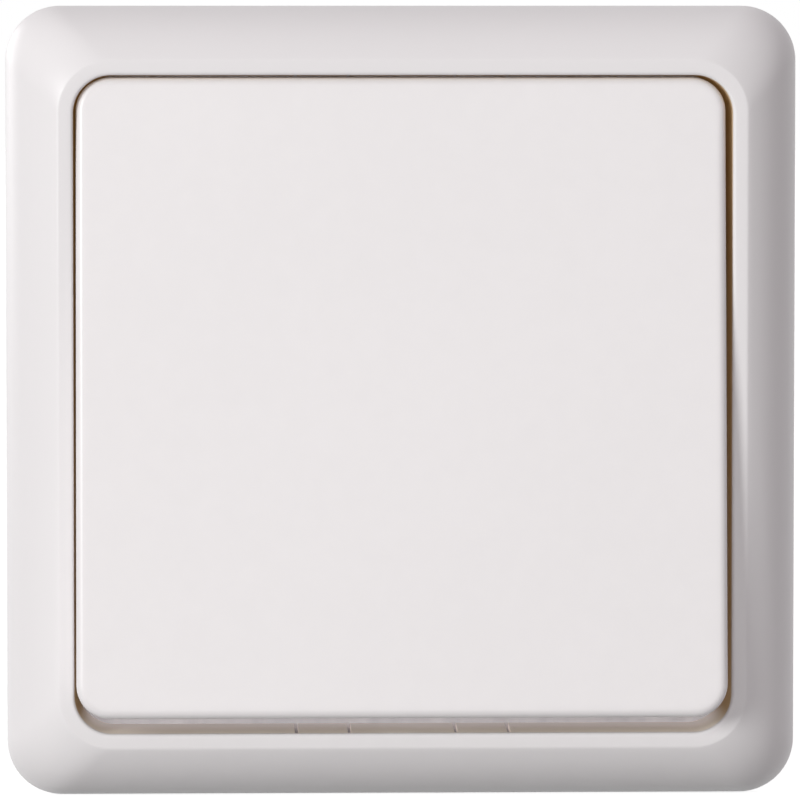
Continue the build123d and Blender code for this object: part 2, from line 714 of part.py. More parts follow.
# Terminal screws, driven from above and below through the housing's access holes
with BuildPart() as terminal_screws:
    for end in (1, -1):
        with BuildSketch(Plane.XY.offset(end * screw_tip_z)):
            with Locations((terminal_x, block_y), (-terminal_x, block_y)):
                Circle(screw_r)
        extrude(amount=end * (screw_head_z - screw_tip_z))
        with BuildSketch(Plane.XY.offset(end * screw_head_z)):
            with Locations((terminal_x, block_y), (-terminal_x, block_y)):
                Circle(screw_head_r)
        extrude(amount=end * screw_head_h)
        with BuildSketch(Plane.XY.offset(end * (screw_head_z + screw_head_h))):
            with Locations((terminal_x, block_y), (-terminal_x, block_y)):
                Rectangle(screw_slot_w, 2 * screw_head_r)
        extrude(amount=-end * screw_slot_d, mode=Mode.SUBTRACT)
save(terminal_screws, "terminal_screws")


# Claw: bell crank with a finger under its screw and a toothed leg that swings outwards
def make_claw(side):
    with BuildPart() as claw:
        leg_in = claw_pin_x - claw_t / 2
        leg_out = claw_pin_x + claw_t / 2
        leg_end = claw_pin_y + claw_leg
        with BuildSketch(Plane.XY):
            with Locations((side * claw_pin_x, claw_pin_y)):
                Circle(claw_hub_r)
            with Locations((side * (claw_pin_x - claw_finger / 2), claw_pin_y)):
                Rectangle(claw_finger, claw_t)
            with BuildLine():
                Polyline(
                    (side * leg_in, claw_pin_y),
                    (side * leg_in, leg_end),
                    (side * (leg_out + claw_toe), leg_end + claw_t / 2),
                    (side * leg_out, leg_end - claw_t),
                    (side * leg_out, claw_pin_y),
                    close=True,
                )
            make_face()
            with Locations((side * claw_pin_x, claw_pin_y)):
                Circle(claw_pin_r + claw_pin_clear, mode=Mode.SUBTRACT)
        extrude(amount=claw_w / 2, both=True)
        with BuildSketch(Plane.XZ.offset(-leg_end + claw_t)):
            with GridLocations(0, claw_notch_pitch, 1, 2):
                with Locations((side * (leg_out + claw_toe), 0)):
                    RegularPolygon(claw_notch, 4)
        extrude(amount=-2 * claw_t, mode=Mode.SUBTRACT)
    return claw


left_claw = make_claw(-1)
save(left_claw, "left_claw")
right_claw = make_claw(1)
save(right_claw, "right_claw")

# Claw pins, riveted over outside the plate's ears
with BuildPart() as claw_pins:
    with BuildSketch(Plane.XY):
        with Locations((claw_pin_x, claw_pin_y), (-claw_pin_x, claw_pin_y)):
            Circle(claw_pin_r)
    extrude(amount=ear_out, both=True)
    for end in (1, -1):
        with BuildSketch(Plane.XY.offset(end * ear_out)):
            with Locations((claw_pin_x, claw_pin_y), (-claw_pin_x, claw_pin_y)):
                Circle(pin_head_r)
        extrude(amount=end * pin_head_h)
save(claw_pins, "claw_pins")


# Claw screw: pan head, shank through the plate and a rounded tip on the claw's finger
def make_claw_screw(side):
    with BuildPart() as screw:
        tip_y = claw_pin_y - claw_t / 2 - claw_screw_gap
        head_y = -plate_t - claw_screw_stand - claw_screw_travel
        with BuildSketch(Plane.XY):
            with BuildLine():
                Polyline(
                    (0, tip_y),
                    (0, head_y - claw_head_h),
                    (claw_head_r, head_y - claw_head_h),
                    (claw_head_r, head_y),
                    (claw_screw_r, head_y),
                    (claw_screw_r, tip_y - claw_screw_r),
                )
                CenterArc((0, tip_y - claw_screw_r), claw_screw_r, 0, 90)
            make_face()
        revolve(axis=Axis.Y)
        fillet(screw.faces().sort_by(Axis.Y)[0].edges(), claw_head_round)
        with BuildSketch(facing(-head_y + claw_head_h)):
            Rectangle(claw_slot_w, 2 * claw_head_r)
        extrude(amount=-claw_slot_d, mode=Mode.SUBTRACT)
    screw.part = screw.part.moved(Location((side * claw_screw_x, 0, 0)))
    return screw


left_claw_screw = make_claw_screw(-1)
save(left_claw_screw, "left_claw_screw")
right_claw_screw = make_claw_screw(1)
save(right_claw_screw, "right_claw_screw")
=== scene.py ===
import math

import bmesh
import bpy
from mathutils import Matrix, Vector


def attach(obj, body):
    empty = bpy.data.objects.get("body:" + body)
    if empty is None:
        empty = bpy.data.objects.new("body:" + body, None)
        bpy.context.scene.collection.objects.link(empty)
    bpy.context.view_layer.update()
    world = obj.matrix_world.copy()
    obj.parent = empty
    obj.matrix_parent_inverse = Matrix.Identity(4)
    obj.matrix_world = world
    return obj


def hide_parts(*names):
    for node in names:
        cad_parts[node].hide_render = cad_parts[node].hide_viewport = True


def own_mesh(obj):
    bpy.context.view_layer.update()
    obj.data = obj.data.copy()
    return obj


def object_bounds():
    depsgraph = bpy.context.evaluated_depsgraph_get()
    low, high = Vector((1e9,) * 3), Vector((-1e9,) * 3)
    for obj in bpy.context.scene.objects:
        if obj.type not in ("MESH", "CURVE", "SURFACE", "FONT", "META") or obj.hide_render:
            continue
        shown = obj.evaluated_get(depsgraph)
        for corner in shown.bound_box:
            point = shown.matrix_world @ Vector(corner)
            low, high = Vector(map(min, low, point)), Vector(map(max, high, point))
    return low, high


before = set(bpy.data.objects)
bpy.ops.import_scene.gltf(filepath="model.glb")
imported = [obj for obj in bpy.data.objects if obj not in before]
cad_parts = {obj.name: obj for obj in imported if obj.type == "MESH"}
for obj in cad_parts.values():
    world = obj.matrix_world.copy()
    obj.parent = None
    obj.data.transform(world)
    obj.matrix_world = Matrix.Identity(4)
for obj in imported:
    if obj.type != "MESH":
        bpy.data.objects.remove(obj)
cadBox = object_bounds()
print("packed model loaded")

mm = 0.001
scene = bpy.context.scene
scene.view_settings.view_transform = "Standard"


# small helpers for working by hand
def dropAll():
    if bpy.context.object and bpy.context.object.mode != "OBJECT":
        bpy.ops.object.mode_set(mode="OBJECT")
    bpy.ops.object.select_all(action="DESELECT")


def pick(*objects):
    dropAll()
    for obj in objects:
        obj.select_set(True)
    bpy.context.view_layer.objects.active = objects[0]


def editOn(obj, mode="EDGE"):
    pick(obj)
    bpy.ops.object.mode_set(mode="EDIT")
    bpy.ops.mesh.select_mode(type=mode)


def joinAll(objects, name):
    pick(*objects)
    if len(objects) > 1:
        bpy.ops.object.join()
    joined = bpy.context.object
    joined.name = name
    return joined


def settle(obj):
    pick(obj)
    bpy.ops.object.transform_apply(location=True, rotation=True, scale=True)


pileStep = 5  # mm between the rings while they are bridged


# a rounded rectangle of edges, numbered, in a pile that is spread out so that bridging can't twist
def addRing(number, width, height, corner, steps):
    dropAll()
    bpy.ops.mesh.primitive_plane_add(size=1, location=(0, 0, number * pileStep * mm))
    ring = bpy.context.object
    ring.scale = (width * mm, height * mm, 1)
    bpy.ops.object.transform_apply(location=True, rotation=True, scale=True)
    bpy.ops.object.mode_set(mode="EDIT")
    bpy.ops.mesh.select_mode(type="VERT")
    bpy.ops.mesh.select_all(action="SELECT")
    bpy.ops.mesh.bevel(
        offset_type="OFFSET", offset=corner * mm, segments=steps, profile=0.5, affect="VERTICES"
    )
    bpy.ops.mesh.select_all(action="SELECT")
    bpy.ops.mesh.delete(type="ONLY_FACE")
    bpy.ops.object.mode_set(mode="OBJECT")
    mark = ring.data.attributes.new("ring", "INT", "POINT")
    mark.data.foreach_set("value", [number] * len(ring.data.vertices))
    return ring


# selects the edges of the numbered rings in edit mode
def pickRings(obj, *numbers):
    bpy.ops.mesh.select_all(action="DESELECT")
    work = bmesh.from_edit_mesh(obj.data)
    layer = work.verts.layers.int["ring"]
    for edge in work.edges:
        a, b = (v[layer] for v in edge.verts)
        edge.select_set(a == b and a in numbers)
    bmesh.update_edit_mesh(obj.data)


# a skin over a pile of rings, let down to their heights: each row is width, height, corner radius, z
def ringSkin(name, rows, steps, closed, capEnds=()):
    rings = [addRing(i, *row[:3], steps) for i, row in enumerate(rows)]
    skin = joinAll(rings, name)
    editOn(skin)
    pairs = [(i, i + 1) for i in range(len(rows) - 1)]
    if closed:
        pairs.append((len(rows) - 1, 0))
    for pair in pairs:
        pickRings(skin, *pair)
        bpy.ops.mesh.bridge_edge_loops()
    for end in capEnds:
        pickRings(skin, end)
        bpy.ops.mesh.edge_face_add()
    bpy.ops.object.mode_set(mode="OBJECT")
    mark = skin.data.attributes["ring"]
    for vert in skin.data.vertices:
        vert.co.z = rows[mark.data[vert.index].value][3] * mm
    skin.data.attributes.remove(mark)
    editOn(skin)
    bpy.ops.mesh.select_all(action="SELECT")
    bpy.ops.mesh.normals_make_consistent(inside=False)
    bpy.ops.object.mode_set(mode="OBJECT")
    return skin


def addBlock(low, high):
    dropAll()
    low, high = Vector(low) * mm, Vector(high) * mm
    bpy.ops.mesh.primitive_cube_add(size=1, location=(low + high) / 2)
    block = bpy.context.object
    block.scale = high - low
    settle(block)
    return block


# cuts away what lies beyond a plane, and closes the cut
def sliceOff(obj, point, normal):
    editOn(obj)
    bpy.ops.mesh.select_all(action="SELECT")
    bpy.ops.mesh.bisect(plane_co=Vector(point) * mm, plane_no=normal, use_fill=True, clear_outer=True)
    bpy.ops.object.mode_set(mode="OBJECT")


def carve(obj, tool, operation):
    pick(obj)
    change = obj.modifiers.new("carve", "BOOLEAN")
    change.operation = operation
    change.object = tool
    change.solver = "EXACT"
    bpy.ops.object.modifier_apply(modifier="carve")
    bpy.data.objects.remove(tool)


speck = 0.002  # mm, points nearer than this become one
sliver = 0.001  # mm, edges shorter than this go


# merges the specks that a cut leaves
def weld(obj):
    editOn(obj, "VERT")
    bpy.ops.mesh.select_all(action="SELECT")
    bpy.ops.mesh.remove_doubles(threshold=speck * mm)
    bpy.ops.mesh.dissolve_degenerate(threshold=sliver * mm)
    bpy.ops.object.mode_set(mode="OBJECT")


# splits all faces into triangles, so that an export has no many-sided face left to split
def splitFaces(obj):
    editOn(obj, "FACE")
    bpy.ops.mesh.select_all(action="SELECT")
    bpy.ops.mesh.quads_convert_to_tris(quad_method="BEAUTY", ngon_method="BEAUTY")
    bpy.ops.object.mode_set(mode="OBJECT")


# turns an outline round z while it rises, and closes the ends
def windUp(obj, pitch, turns, steps):
    wind = obj.modifiers.new("wind", "SCREW")
    wind.screw_offset = pitch * mm
    wind.iterations = turns
    wind.steps = wind.render_steps = steps
    pick(obj)
    bpy.ops.object.modifier_apply(modifier="wind")
    editOn(obj)
    bpy.ops.mesh.select_all(action="SELECT")
    bpy.ops.mesh.fill_holes(sides=0)
    bpy.ops.mesh.normals_make_consistent(inside=False)
    bpy.ops.object.mode_set(mode="OBJECT")


crease = 28  # degrees, sharper bends keep an edge


def smooth(obj, degrees=crease):
    pick(obj)
    bpy.ops.object.shade_smooth_by_angle(angle=math.radians(degrees))


# a quadratic curve through three points, spaced by its chords
def throughThree(a, b, c, t):
    first = math.dist(a[:2], b[:2])
    m = first / (first + math.dist(b[:2], c[:2]))
    wa = (t - m) * (t - 1) / m
    wb = t * (t - 1) / (m * (m - 1))
    wc = t * (t - m) / (1 - m)
    return [wa * p + wb * q + wc * r for p, q, r in zip(a, b, c)]


# camera and lamps
view = {
    "turn": -1.8, "rise": 3.39, "distance": 690.0, "aim": (-0.18, -4.0, 0.2),
    "span": 81.92, "sensor": 36.0, "clip": 0.01,
}
turn, rise = math.radians(view["turn"]), math.radians(view["rise"])
back = Vector((math.sin(turn) * math.cos(rise), -math.cos(turn) * math.cos(rise), math.sin(rise)))
cameraData = bpy.data.cameras.new("camera")
cameraData.sensor_width = view["sensor"]
cameraData.lens = view["sensor"] * view["distance"] / view["span"]
cameraData.clip_start = view["clip"]
camera = bpy.data.objects.new("camera", cameraData)
scene.collection.objects.link(camera)
camera.location = Vector(view["aim"]) * mm + back * view["distance"] * mm
camera.rotation_euler = (-back).to_track_quat("-Z", "Y").to_euler()
scene.camera = camera

lamps = {
    "key": {"from": (-1.375, -1.615, 0.48), "size": 0.7, "power": 27.4, "tint": (0.985, 1.0, 0.99)},
    "front": {"from": (-0.22, -2.185, 0.13), "size": 1.2, "power": 11.4, "tint": (1.0, 1.0, 0.99)},
    "rear": {"from": (-1.5, 1.7, 0.5), "size": 1.2, "power": 10.0, "tint": (1.0, 1.0, 1.0)},
}
for name, lamp in lamps.items():
    data = bpy.data.lights.new(name, "AREA")
    data.shape = "DISK"
    data.size = lamp["size"]
    data.energy = lamp["power"]
    data.color = lamp["tint"]
    obj = bpy.data.objects.new(name, data)
    scene.collection.objects.link(obj)
    obj.location = lamp["from"]
    obj.rotation_euler = (-Vector(lamp["from"])).to_track_quat("-Z", "Y").to_euler()
print("camera and lamps placed")


# shader maths: a wrapped socket that takes Python arithmetic
class Wire:
    def __init__(self, tree, socket=None):
        self.tree = tree
        self.socket = socket

    def make(self, kind, settings=None, inputs=None, out=0):
        node = self.tree.nodes.new(kind)
        for key, value in (settings or {}).items():
            setattr(node, key, value)
        for key, value in (inputs or {}).items():
            if isinstance(value, Wire):
                self.tree.links.new(value.socket, node.inputs[key])
            else:
                node.inputs[key].default_value = value
        return Wire(self.tree, node.outputs[out])

    def maths(self, operation, *values):
        return self.make("ShaderNodeMath", {"operation": operation}, dict(enumerate(values)))

    def __add__(self, other):
        return self.maths("ADD", self, other)

    def __sub__(self, other):
        return self.maths("SUBTRACT", self, other)

    def __rsub__(self, other):
        return self.maths("SUBTRACT", other, self)

    def __mul__(self, other):
        return self.maths("MULTIPLY", self, other)

    def __abs__(self):
        return self.maths("ABSOLUTE", self)

    def atLeast(self, other):
        return self.maths("MAXIMUM", self, other)

    def root(self):
        return self.maths("SQRT", self)

    # 0 below low, 1 above high, eased between
    def step(self, low, high):
        settings = {"interpolation_type": "SMOOTHSTEP"}
        inputs = {"Value": self, "From Min": low, "From Max": high}
        return self.make("ShaderNodeMapRange", settings, inputs)

    def noise(self, scale, detail=2.0, stretch=None):
        place = self
        if stretch:
            place = self.make("ShaderNodeMapping", None, {"Vector": self, "Scale": stretch})
        inputs = {"Vector": place, "Scale": scale, "Detail": detail}
        return place.make("ShaderNodeTexNoise", None, inputs)

    def blend(self, a, b):
        a, b = (c if isinstance(c, Wire) else (*c, 1) for c in (a, b))
        return self.make("ShaderNodeMix", {"data_type": "RGBA"}, {0: self, 6: a, 7: b}, 2)

    def bump(self, strength, distance):
        inputs = {"Height": self, "Strength": strength, "Distance": distance}
        return self.make("ShaderNodeBump", None, inputs)

    def parts(self):
        split = self.make("ShaderNodeSeparateXYZ", None, {"Vector": self}).socket.node
        return [Wire(self.tree, out) for out in split.outputs]


def newFinish(name, fixed):
    finish = bpy.data.materials.new(name)
    finish.use_nodes = True
    tree = finish.node_tree
    tree.nodes.clear()
    shader = tree.nodes.new("ShaderNodeBsdfPrincipled")
    for key, value in fixed.items():
        shader.inputs[key].default_value = value
    output = tree.nodes.new("ShaderNodeOutputMaterial")
    tree.links.new(shader.outputs[0], output.inputs[0])
    place = Wire(tree).make("ShaderNodeTexCoord", out="Object")
    return finish, shader, place


def feed(shader, **wires):
    sockets = {"colour": "Base Color", "rough": "Roughness", "normal": "Normal", "glow": "Emission Color"}
    for key, wire in wires.items():
        wire.tree.links.new(wire.socket, shader.inputs[sockets[key]])


# 1 for what the camera sees, straight or by a mirror or through glass
def seenRays(tree):
    rays = Wire(tree).make("ShaderNodeLightPath").socket.node.outputs
    kinds = ("Camera", "Glossy", "Transmission")
    straight, mirror, glass = (Wire(tree, rays[f"Is {kind} Ray"]) for kind in kinds)
    return straight.atLeast(mirror).atLeast(glass)


# world: soft fill on the object, white where it is seen or mirrored
worldLight = {"fill": (1.0, 0.93, 0.96), "strength": 0.404, "seen": (1.0, 1.0, 1.0)}
world = bpy.data.worlds.new("studio")
scene.world = world
world.use_nodes = True
worldTree = world.node_tree
worldTree.nodes.clear()
fill = tuple(c * worldLight["strength"] for c in worldLight["fill"])
sky = seenRays(worldTree).blend(fill, worldLight["seen"])
backdrop = sky.make("ShaderNodeBackground", None, {"Color": sky})
worldOut = worldTree.nodes.new("ShaderNodeOutputWorld")
worldTree.links.new(backdrop.socket, worldOut.inputs[0])

# floor just under the frame: it takes the shadow, and a glow that lights nothing keeps it pale
floorPlan = {"size": 6.0, "below": 0.1, "tone": (0.4, 0.4, 0.4), "rough": 0.9, "glow": 0.88}
floorAt = cadBox[0].z - floorPlan["below"] * mm
dropAll()
bpy.ops.mesh.primitive_plane_add(size=floorPlan["size"], location=(0, 0, floorAt))
floor = bpy.context.object
floor.name = "floor"
floorFixed = {
    "Base Color": (*floorPlan["tone"], 1), "Roughness": floorPlan["rough"],
    "Specular IOR Level": 0, "Emission Strength": 1,
}
floorFinish, floorShader = newFinish("paleFloor", floorFixed)[:2]
feed(floorShader, glow=seenRays(floorFinish.node_tree).blend((0, 0, 0), (floorPlan["glow"],) * 3))
floor.data.materials.append(floorFinish)
print("world and floor made")


# moulded plastic: slow clouds and finer mottling in the tone, a fine grain in the surface
plasticLook = {
    "clouds": 38, "cloudShare": 0.6, "mottle": 420, "mottleShare": 0.4, "from": 0.3, "to": 0.7,
    "specular": 0.5, "roughSpan": 0.08, "grainDeep": 0.0002,
}


def plasticFinish(name, tone, rough, grain, depth, spread=0.012):
    p = plasticLook
    finish, shader, place = newFinish(name, {"Specular IOR Level": p["specular"]})
    clouds = place.noise(p["clouds"], 3) * p["cloudShare"]
    mottle = (clouds + place.noise(p["mottle"], 3) * p["mottleShare"]).step(p["from"], p["to"])
    fine = place.noise(grain, 4)
    light = tuple(min(1, c * (1 + spread)) for c in tone)
    dark = tuple(c * (1 - spread) for c in tone)
    feed(
        shader,
        colour=mottle.blend(dark, light),
        rough=fine * p["roughSpan"] + mottle * spread + (rough - p["roughSpan"] / 2 - spread / 2),
        normal=fine.bump(depth, p["grainDeep"]),
    )
    return finish


# white plastic of the frame: down in the opening the walls are painted with shade, brown at the sides and
# lighter at the lower end as painted light, and a painted glow stands in for light through its thin walls
# and light falling in at the wide lower end
frameTone = {
    # side and end: painted shade on the walls of the opening, brown at the sides, and painted light, a
    # lighter tone at the lower end
    "front": (0.806, 0.785, 0.790), "side": (0.62, 0.47, 0.30), "end": (0.74, 0.69, 0.64),
    # the glows are painted light down in the opening, strongest at the lower end and deep by the plate
    "sidePaintedLight": (0.036, 0.018, 0.004), "endPaintedLight": (0.155, 0.13, 0.10), "footPaintedLight": (0.275, 0.24, 0.23),
    "half": 33.5, "corner": 3.9, "edge": 0.35, "blur": 0.15, "land": 9.45, "deep": 8.6, "footDeep": 2.0,
    "endFrom": -31.0, "endTo": -33.0, "rough": 0.35, "roughDown": 0.4, "roughSpan": 0.08, "specular": 0.3,
    "clouds": 34, "darker": 0.987, "lighter": 1.01, "grain": 2600, "bump": 0.02, "grainDeep": 0.0002,
}


def framePlastic(p):
    fixed = {"Specular IOR Level": p["specular"], "Emission Strength": 1}
    finish, shader, place = newFinish("framePlastic", fixed)
    x, y, z = place.parts()
    core = (p["half"] - p["corner"]) * mm
    across, up = ((abs(c) - core).atLeast(0) for c in (x, z))
    beyond = (across * across + up * up).root() * 1000 - p["corner"]
    inside = 1 - beyond.step(p["edge"], p["edge"] + p["blur"])
    # where the painted shade and painted light go: the walls down in the opening, their deep foot, and the
    # lower end
    down = inside * (y * 1000).step(-p["land"], -p["deep"])
    foot = (y * 1000).step(-p["deep"], -p["footDeep"])
    end = 1 - (z * 1000).step(p["endTo"], p["endFrom"])
    fine = place.noise(p["grain"], 4)
    dark, light = (tuple(c * p[key] for c in p["front"]) for key in ("darker", "lighter"))
    base = place.noise(p["clouds"], 3).blend(dark, light)
    # painted light at the lower end, stronger at the deep foot
    endPaintedLight = foot.blend(p["endPaintedLight"], p["footPaintedLight"])
    # colour: painted shade on the walls of the opening, lighter at the lower end as painted light; glow:
    # painted light there
    feed(
        shader,
        colour=down.blend(base, end.blend(p["side"], p["end"])),
        glow=down.blend((0, 0, 0), end.blend(p["sidePaintedLight"], endPaintedLight)),
        rough=fine * p["roughSpan"] + (p["rough"] - p["roughSpan"] / 2) + down * p["roughDown"],
        normal=fine.bump(p["bump"], p["grainDeep"]),
    )
    return finish


# sheet and turned metal: clouded plating, drawn streaks and fine specks
metalLook = {
    "clouds": 120, "cloudShare": 0.6, "streaks": 900, "streakShare": 0.4, "from": 0.32, "to": 0.68,
    "specks": 3200, "streakRough": 0.22, "speckRough": 0.1, "middle": 0.16,
    "streakBump": 0.7, "speckBump": 0.3, "bump": 0.08, "bumpDeep": 0.0001,
}


def metalFinish(name, tone, other, rough, stretch, metal=1.0):
    p = metalLook
    finish, shader, place = newFinish(name, {"Metallic": metal})
    streaks = place.noise(p["streaks"], 3, stretch)
    specks = place.noise(p["specks"], 2)
    clouds = place.noise(p["clouds"], 3) * p["cloudShare"]
    plating = (clouds + streaks * p["streakShare"]).step(p["from"], p["to"])
    relief = streaks * p["streakBump"] + specks * p["speckBump"]
    feed(
        shader,
        colour=plating.blend(tone, other),
        rough=streaks * p["streakRough"] + specks * p["speckRough"] + (rough - p["middle"]),
        normal=relief.bump(p["bump"], p["bumpDeep"]),
    )
    return finish


finishes = {
    "framePlastic": framePlastic(frameTone),
    "rockerPlastic": plasticFinish("rockerPlastic", (0.812, 0.787, 0.790), 0.31, 2600, 0.02),
    "carrierPlastic": plasticFinish("carrierPlastic", (0.78, 0.77, 0.74), 0.5, 1800, 0.06, 0.025),
    "plungerPlastic": plasticFinish("plungerPlastic", (0.86, 0.85, 0.81), 0.42, 1800, 0.04, 0.02),
    "housingPlastic": plasticFinish("housingPlastic", (0.64, 0.645, 0.64), 0.52, 1500, 0.16, 0.03),
    "lidPlastic": plasticFinish("lidPlastic", (0.70, 0.70, 0.69), 0.5, 1500, 0.12, 0.025),
    "zincSteel": metalFinish(
        "zincSteel", (0.755, 0.73, 0.75), (0.685, 0.675, 0.71), 0.46, (1, 1, 0.06), 0.8
    ),
    "screwSteel": metalFinish("screwSteel", (0.77, 0.755, 0.72), (0.69, 0.69, 0.71), 0.34, (1, 1, 1)),
    "springSteel": metalFinish("springSteel", (0.57, 0.57, 0.58), (0.49, 0.49, 0.51), 0.34, (1, 1, 1)),
    "brass": metalFinish("brass", (0.78, 0.62, 0.33), (0.68, 0.51, 0.25), 0.34, (1, 1, 0.1)),
    "silver": metalFinish("silver", (0.87, 0.86, 0.83), (0.78, 0.77, 0.75), 0.3, (1, 1, 1)),
}
nodeFinish = {
    "rocker_carrier": "carrierPlastic",
    "plunger": "plungerPlastic",
    "contact_spring": "springSteel",
    "support_plate": "zincSteel",
    "base_housing": "housingPlastic",
    "housing_lid": "lidPlastic",
    "plate_rivets": "zincSteel",
    "contact_arm": "brass",
    "arm_contacts": "silver",
    "fixed_contacts": "silver",
    "common_terminal": "brass",
    "upper_terminal": "brass",
    "lower_terminal": "brass",
    "terminal_screws": "screwSteel",
    "left_claw": "zincSteel",
    "right_claw": "zincSteel",
    "claw_pins": "screwSteel",
    "left_claw_screw": "screwSteel",
    "right_claw_screw": "screwSteel",
    "cover_frame": "framePlastic",
    "rocker": "rockerPlastic",
}


def coat(obj, finishName):
    obj.data.materials.clear()
    obj.data.materials.append(finishes[finishName])


for node, finishName in nodeFinish.items():
    coat(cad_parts[node], finishName)
print("finishes on the packed pieces")

# cover frame: rim, bulging side, ridge, flat land, wall round the opening, hollow behind
frameCover = {
    "side": 81.0, "corner": 5.6, "rim": 1.6, "height": 9.6, "wall": 1.8,
    "slope": 5.5, "bulgeIn": 1.9, "bulgeHeight": 6.3, "bulgeCorner": 5.4, "ridgeCorner": 5.2,
    "ridgeFrom": (35.14, 9.523), "ridgeTo": (34.845, 9.6), "bendIn": 0.1665, "landStep": 0.25,
    "opening": 67.0, "openingCorner": 3.9, "openingRound": 0.3, "draft": 1.2, "innerWall": 1.3, "seat": 1.2,
    "cornerSteps": 18, "slopeSteps": 16, "ridgeSteps": 5, "roundSteps": 5, "insideSteps": 8,
}


def buildFrameCover(p):
    half = p["side"] / 2
    low = (half, p["rim"], p["corner"])
    middle = (half - p["bulgeIn"], p["bulgeHeight"], p["bulgeCorner"])
    top = (half - p["slope"], p["height"], p["ridgeCorner"])
    profile = [(half, 0, p["corner"])]
    for i in range(p["slopeSteps"]):
        reach, h, corner = throughThree(low, middle, top, i / p["slopeSteps"])
        profile.append((reach, h, corner))
    start, end = p["ridgeFrom"], p["ridgeTo"]
    bend = (start[0] - p["bendIn"], p["height"])  # where the slope's line meets the land
    for i in range(p["ridgeSteps"] + 1):
        t = i / p["ridgeSteps"]
        weights = ((1 - t) ** 2, 2 * t * (1 - t), t * t)
        reach, h = (sum(w * c for w, c in zip(weights, axis)) for axis in zip(start, bend, end))
        profile.append((reach, h, p["ridgeCorner"] + reach - top[0]))
    openHalf = p["opening"] / 2
    lean = math.tan(math.radians(p["draft"]))
    flat = p["openingRound"] + p["landStep"]
    profile.append((openHalf + flat, p["height"], p["openingCorner"] + flat))
    for i in range(p["roundSteps"] + 1):
        turn = math.radians(90 * i / p["roundSteps"])
        away = p["openingRound"] * (1 - math.sin(turn))
        h = p["height"] - p["openingRound"] * (1 - math.cos(turn))
        reach = openHalf + away - (p["height"] - h) * lean
        profile.append((reach, h, p["openingCorner"] + away))
    profile.append((openHalf - (p["height"] - p["seat"]) * lean, p["seat"], p["openingCorner"]))
    wallOut = openHalf + p["innerWall"]
    profile.append((wallOut, p["seat"], p["openingCorner"] + p["innerWall"]))
    profile.append((wallOut, p["height"] - p["wall"], p["openingCorner"] + p["innerWall"]))
    inLow = (half - p["wall"], p["rim"], p["corner"] - p["wall"])
    inBulge = half - p["wall"] - p["bulgeIn"] / 2
    inMiddle = (inBulge, p["bulgeHeight"] - p["wall"], p["bulgeCorner"] - p["wall"])
    inTop = (half - p["slope"], p["height"] - p["wall"], p["ridgeCorner"])
    for i in range(p["insideSteps"] + 1):
        profile.append(throughThree(inLow, inMiddle, inTop, 1 - i / p["insideSteps"]))
    profile.append((half - p["wall"], 0, p["corner"] - p["wall"]))
    rows = [(2 * reach, 2 * reach, corner, h) for reach, h, corner in profile]
    return ringSkin("coverFrame", rows, p["cornerSteps"], True)


coverFrame = buildFrameCover(frameCover)

# slits beside the four snap tongues, and the catches on them
tongues = {
    "x": 8.15, "width": 5.0, "slit": 0.4, "front": 0.8, "below": 0.5,
    "catchHeight": 4.3, "catchRise": 1.2, "catchOut": 0.55, "catchWidth": 2.4,
}


def cutTongues(obj, p, f):
    wallOut = f["opening"] / 2 + f["innerWall"]
    cutters = []
    for end in (1, -1):
        for side in (1, -1):
            for edge in (1, -1):
                x = side * p["x"] + edge * (p["width"] + p["slit"]) / 2
                z = end * (wallOut - f["innerWall"] / 2)
                cutters.append(
                    addBlock(
                        (x - p["slit"] / 2, z - f["innerWall"], f["seat"] - p["below"]),
                        (x + p["slit"] / 2, z + f["innerWall"], f["height"] - p["front"]),
                    )
                )
    carve(obj, joinAll(cutters, "slits"), "DIFFERENCE")
    catches = []
    for end in (1, -1):
        for side in (1, -1):
            x = side * p["x"]
            low, high = sorted((end * (wallOut - p["catchOut"]), end * (wallOut + p["catchOut"])))
            block = addBlock(
                (x - p["catchWidth"] / 2, low, p["catchHeight"] - p["catchRise"]),
                (x + p["catchWidth"] / 2, high, p["catchHeight"]),
            )
            middle = p["catchHeight"] - p["catchRise"] / 2
            for vert in block.data.vertices:
                if vert.co.z < middle * mm and vert.co.y * end > wallOut * mm:
                    vert.co.y = end * wallOut * mm
            catches.append(block)
    carve(obj, joinAll(catches, "catches"), "UNION")


# webs in the hollow behind the slope, two on each side
webs = {
    "at": 22.0, "thick": 1.0, "foot": 1.6, "roof": 8.2, "from": 34.6,
    "outline": ((39.4, 1.6), (38.5, 4.5), (36.2, 7.9)),
}


def addWebs(obj, p):
    outline = p["outline"]
    for quarter in range(4):
        for at in (p["at"], -p["at"]):
            web = addBlock(
                (p["from"], at - p["thick"] / 2, p["foot"]),
                (outline[0][0], at + p["thick"] / 2, p["roof"]),
            )
            for a, b in zip(outline, outline[1:]):
                sliceOff(web, (a[0], at, a[1]), (b[1] - a[1], 0, a[0] - b[0]))
            web.rotation_euler = (0, 0, quarter * math.pi / 2)
            settle(web)
            carve(obj, web, "UNION")


cutTongues(coverFrame, tongues, frameCover)
addWebs(coverFrame, webs)
coverFrame.rotation_euler = (math.radians(90), 0, 0)
settle(coverFrame)
smooth(coverFrame)
coat(coverFrame, "framePlastic")
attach(coverFrame, "insert")
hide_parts("cover_frame")
print("cover frame modelled", len(coverFrame.data.polygons))

